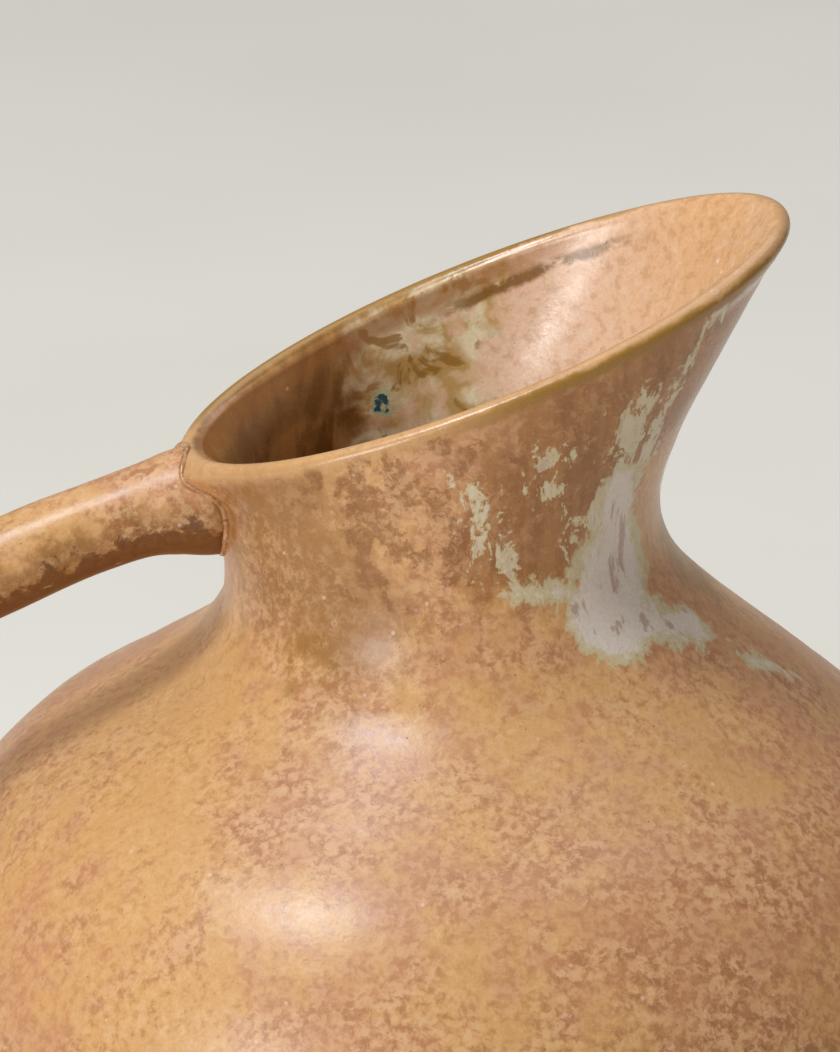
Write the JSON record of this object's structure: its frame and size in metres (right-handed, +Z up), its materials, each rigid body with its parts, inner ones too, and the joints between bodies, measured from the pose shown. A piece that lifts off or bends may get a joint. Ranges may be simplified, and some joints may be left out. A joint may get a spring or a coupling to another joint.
{
  "type": "pitcher",
  "caption": "Round-bellied glazed stoneware pitcher with a narrow leaning neck, a one-sided flared pouring mouth and a round bar handle on a turned foot ring.",
  "frame": {"origin": "centre of the foot ring on the plane the pitcher stands on", "axes": "+X from the handle towards the spout, +Z up, Y across the symmetry plane"},
  "size_m": [0.2782, 0.248, 0.2887],
  "materials": {
    "bare_clay": "unglazed fired stoneware, matt and slightly gritty",
    "inside_glaze": "glossy brown glaze",
    "body_glaze": "satin caramel glaze, mottled with tan and brown",
    "neck_glaze": "glossy caramel and brown glaze with pale cream patches",
    "lip_glaze": "glossy ochre glaze, thin on the edge",
    "handle_glaze": "glossy tan glaze with brown patches"
  },
  "bodies": {
    "root": {"foot_ring": "bare_clay", "base_floor": "inside_glaze", "belly_lower": "body_glaze", "belly_upper": "body_glaze", "neck_collar": "neck_glaze", "spout_funnel": "neck_glaze", "lip_bead": "lip_glaze", "handle_bar": "handle_glaze", "handle_upper_joint": "handle_glaze", "handle_lower_joint": "handle_glaze"}
  },
  "joints": []
}
